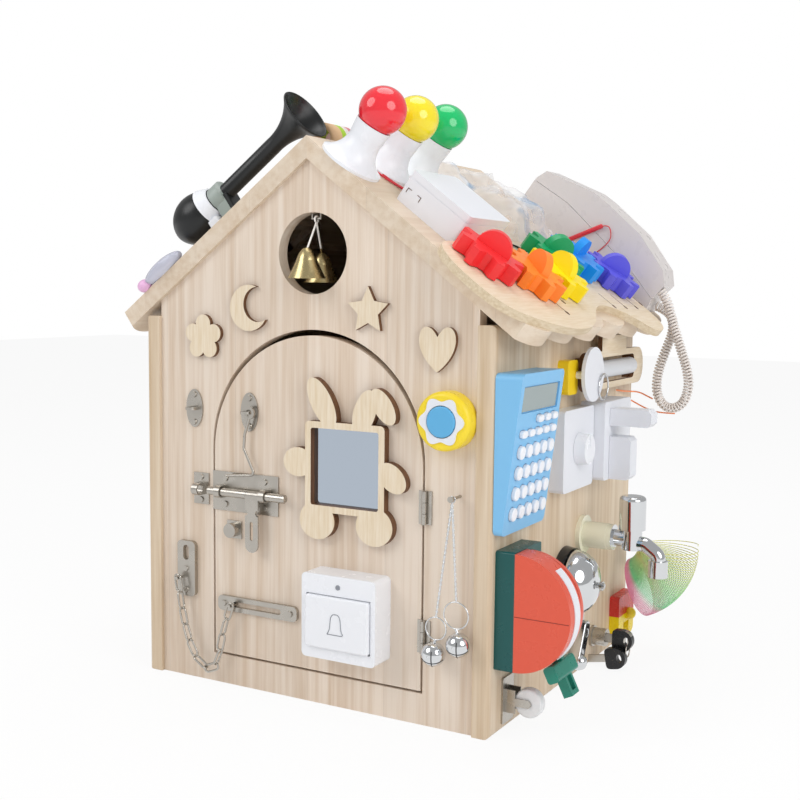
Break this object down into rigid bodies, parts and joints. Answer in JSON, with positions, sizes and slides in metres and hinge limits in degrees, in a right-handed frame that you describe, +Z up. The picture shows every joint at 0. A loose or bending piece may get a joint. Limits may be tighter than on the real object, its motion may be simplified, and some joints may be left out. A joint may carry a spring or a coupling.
{
  "type": "busy house",
  "caption": "Small wooden play house with a gable roof, whose outside carries a hinged door, locks, switches, bells, gears, a tap and a telephone.",
  "frame": {"origin": "middle of the house's footprint, at the bottom of its walls", "axes": "+Z up; the door's side faces -Y; +X points out of the wall that carries the calculator, tap and knife switch"},
  "size_m": [0.56, 0.4321, 0.6276],
  "materials": {
    "pine": "clear-lacquered pine with straight grain",
    "plywood": "thin birch plywood with dark laser-cut edges",
    "brass": "polished brass",
    "steel": "plain and nickel-plated steel",
    "chrome": "bright chrome",
    "chain": "bright plated chain and bells",
    "mirror": "silvered acrylic",
    "white": "white moulded plastic",
    "grey": "pale grey plastic",
    "yellow": "yellow moulded plastic",
    "blue_button": "blue moulded plastic",
    "calculator": "pale blue moulded plastic",
    "keys": "white and blue rubber keys",
    "bulbs": "coloured bulbs in red, yellow and green",
    "gear_red": "printed plastic",
    "gear_orange": "printed plastic",
    "gear_yellow": "printed plastic",
    "gear_green": "printed plastic",
    "gear_blue": "printed plastic",
    "gear_violet": "printed plastic",
    "phone": "warm white moulded plastic",
    "cord": "pinkish white curly cord",
    "switch": "orange-red and green moulded plastic",
    "switch_grip": "teal moulded plastic",
    "rainbow": "plastic coil that runs from pink to green to yellow",
    "toy": "red and yellow plastic",
    "horn": "black rubber bulb with a painted metal horn"
  },
  "bodies": {
    "house": {"front_panel": "pine", "back_panel": "pine", "side_boards": "pine", "floor_board": "pine", "roof_slabs": "pine", "frame_fittings": "steel", "front_shapes": "plywood", "sound_drum": "yellow", "calculator_body": "calculator", "dimmer_plate": "white", "socket_box": "white", "reel": "yellow", "roller_frame": "plywood", "tap_body": "chrome", "knife_switch": "switch", "desk_bell": "steel", "latch_plate": "chrome", "cam_lock": "steel", "caster_fork": "chrome", "clip_toy": "toy", "lamp_holders": "white", "lamp_bulbs": "bulbs", "battery_box": "white", "gear_board": "plywood", "phone_base": "phone", "bulb_horn": "horn", "door_chain": "chain", "phone_cord": "cord"},
    "door": {"door": "pine", "door_fittings": "steel", "rabbit_frame": "plywood", "mirror": "mirror", "doorbell_box": "white"},
    "rocker": {"doorbell_rocker": "white"},
    "hook": {"cabin_hook": "steel"},
    "bolt": {"bolt_rod": "steel"},
    "hasp": {"bolt_hasp": "steel"},
    "button": {"sound_button": "blue_button"},
    "keys": {"calculator_keys": "keys"},
    "plunger": {"bell_plunger": "steel"},
    "hanging_bells": {"porthole_bells": "brass"},
    "bell_string": {"bell_chain": "chain"},
    "dimmer": {"dimmer_knob": "white"},
    "upper_plug": {"plug_upper": "white"},
    "lower_plug": {"plug_lower": "white"},
    "pull_ring": {"reel_ring": "chrome"},
    "roller": {"roller": "grey"},
    "tap_grip": {"tap_handle": "chrome"},
    "switch_lever": {"switch_handle": "switch_grip"},
    "lever": {"latch_lever": "chrome"},
    "keys_in_lock": {"lock_keys": "steel"},
    "wheel": {"caster_wheel": "grey"},
    "coil": {"rainbow_spring": "rainbow"},
    "gear_red": {"gear_red": "gear_red"},
    "gear_orange": {"gear_orange": "gear_orange"},
    "gear_yellow": {"gear_yellow": "gear_yellow"},
    "gear_green": {"gear_green": "gear_green"},
    "gear_blue": {"gear_blue": "gear_blue"},
    "gear_violet": {"gear_violet": "gear_violet"},
    "receiver": {"handset": "phone"}
  },
  "joints": [
    {"name": "door_swing", "type": "hinge", "parent": "house", "child": "door", "pos_m": [0.1375, -0.199, 0.15], "axis": [0, 0, 1], "range_deg": [0, 85], "deforming": ["door_chain"]},
    {"name": "rocker_tilt", "type": "hinge", "parent": "door", "child": "rocker", "pos_m": [0.056, -0.2218, 0.0975], "axis": [1, 0, 0], "range_deg": [-2.5, 2.5], "stiffness_Nm_per_rad": 0.05},
    {"name": "hook_swing", "type": "hinge", "parent": "door", "child": "hook", "pos_m": [-0.0685, -0.20248, 0.298], "axis": [0, 1, 0], "range_deg": [0, 50]},
    {"name": "bolt_slide", "type": "slide", "parent": "door", "child": "bolt", "axis": [-1, 0, 0], "range_m": [0, 0.022]},
    {"name": "hasp_turn", "type": "hinge", "parent": "bolt", "child": "hasp", "pos_m": [-0.062, -0.2035, 0.2115], "axis": [-1, 0, 0], "range_deg": [0, 90]},
    {"name": "button_press", "type": "slide", "parent": "house", "child": "button", "axis": [0, 1, 0], "range_m": [0, 0.003], "stiffness_N_per_m": 300},
    {"name": "keys_press", "type": "slide", "parent": "house", "child": "keys", "axis": [-0.9925, 0, 0.1224], "range_m": [0, 0.0015], "stiffness_N_per_m": 400},
    {"name": "plunger_press", "type": "slide", "parent": "house", "child": "plunger", "axis": [-1, 0, 0], "range_m": [0, 0.003], "stiffness_N_per_m": 300},
    {"name": "bells_swing", "type": "hinge", "parent": "house", "child": "hanging_bells", "pos_m": [0.0045, -0.1875, 0.498], "axis": [1, 0, 0], "range_deg": [-8, 8]},
    {"name": "chain_swing", "type": "hinge", "parent": "house", "child": "bell_string", "pos_m": [0.1745, -0.212, 0.2325], "axis": [0, 1, 0], "range_deg": [-8, 2]},
    {"name": "dimmer_turn", "type": "hinge", "parent": "house", "child": "dimmer", "pos_m": [0.226, -0.019, 0.262], "axis": [1, 0, 0], "range_deg": [0, 270]},
    {"name": "upper_plug_pull", "type": "slide", "parent": "house", "child": "upper_plug", "axis": [1, 0, 0], "range_m": [0, 0.02]},
    {"name": "lower_plug_pull", "type": "slide", "parent": "house", "child": "lower_plug", "axis": [1, 0, 0], "range_m": [0, 0.02]},
    {"name": "ring_pull", "type": "slide", "parent": "house", "child": "pull_ring", "axis": [1, 0, 0], "range_m": [0, 0.04], "stiffness_N_per_m": 20},
    {"name": "roller_turn", "type": "hinge", "parent": "house", "child": "roller", "pos_m": [0.22, 0.0875, 0.341], "axis": [0, 1, 0], "continuous": true},
    {"name": "tap_turn", "type": "hinge", "parent": "house", "child": "tap_grip", "pos_m": [0.268, 0.038, 0.17], "axis": [0, 0, 1], "range_deg": [0, 90]},
    {"name": "switch_throw", "type": "hinge", "parent": "house", "child": "switch_lever", "pos_m": [0.239, -0.158, 0.125], "axis": [0, -1, 0], "range_deg": [0, 105]},
    {"name": "latch_turn", "type": "hinge", "parent": "house", "child": "lever", "pos_m": [0.218, 0.022, 0.052], "axis": [1, 0, 0], "range_deg": [0, 45]},
    {"name": "key_turn", "type": "hinge", "parent": "house", "child": "keys_in_lock", "pos_m": [0.228, 0.08, 0.032], "axis": [1, 0, 0], "range_deg": [0, 90]},
    {"name": "wheel_spin", "type": "hinge", "parent": "house", "child": "wheel", "pos_m": [0.235, -0.158, 0.03], "axis": [0, 1, 0], "continuous": true},
    {"name": "coil_bounce", "type": "hinge", "parent": "house", "child": "coil", "pos_m": [0.218, 0.155, 0.128], "axis": [0, 1, 0], "range_deg": [0, 8], "stiffness_Nm_per_rad": 0.05},
    {"name": "spin_red", "type": "hinge", "parent": "house", "child": "gear_red", "pos_m": [0.18187, -0.17, 0.45278], "axis": [0.601, 0, 0.7993], "continuous": true},
    {"name": "spin_orange", "type": "hinge", "parent": "house", "child": "gear_orange", "pos_m": [0.2036, -0.11427, 0.43644], "axis": [0.601, 0, 0.7993], "continuous": true},
    {"name": "spin_yellow", "type": "hinge", "parent": "house", "child": "gear_yellow", "pos_m": [0.2036, -0.05227, 0.43644], "axis": [0.601, 0, 0.7993], "continuous": true},
    {"name": "spin_green", "type": "hinge", "parent": "house", "child": "gear_green", "pos_m": [0.17733, 0.00031, 0.45619], "axis": [0.601, 0, 0.7993], "continuous": true},
    {"name": "spin_blue", "type": "hinge", "parent": "house", "child": "gear_blue", "pos_m": [0.17733, 0.06231, 0.45619], "axis": [0.601, 0, 0.7993], "continuous": true},
    {"name": "spin_violet", "type": "hinge", "parent": "house", "child": "gear_violet", "pos_m": [0.2006, 0.11705, 0.4387], "axis": [0.601, 0, 0.7993], "continuous": true},
    {"name": "handset_lift", "type": "slide", "parent": "house", "child": "receiver", "axis": [0.601, 0, 0.7993], "range_m": [0, 0.03]}
  ],
  "couplings": [
    {"joint": "spin_orange", "follows": "spin_red", "ratio": -1},
    {"joint": "spin_yellow", "follows": "spin_red", "ratio": 1},
    {"joint": "spin_green", "follows": "spin_red", "ratio": -1},
    {"joint": "spin_blue", "follows": "spin_red", "ratio": 1},
    {"joint": "spin_violet", "follows": "spin_red", "ratio": -1}
  ]
}
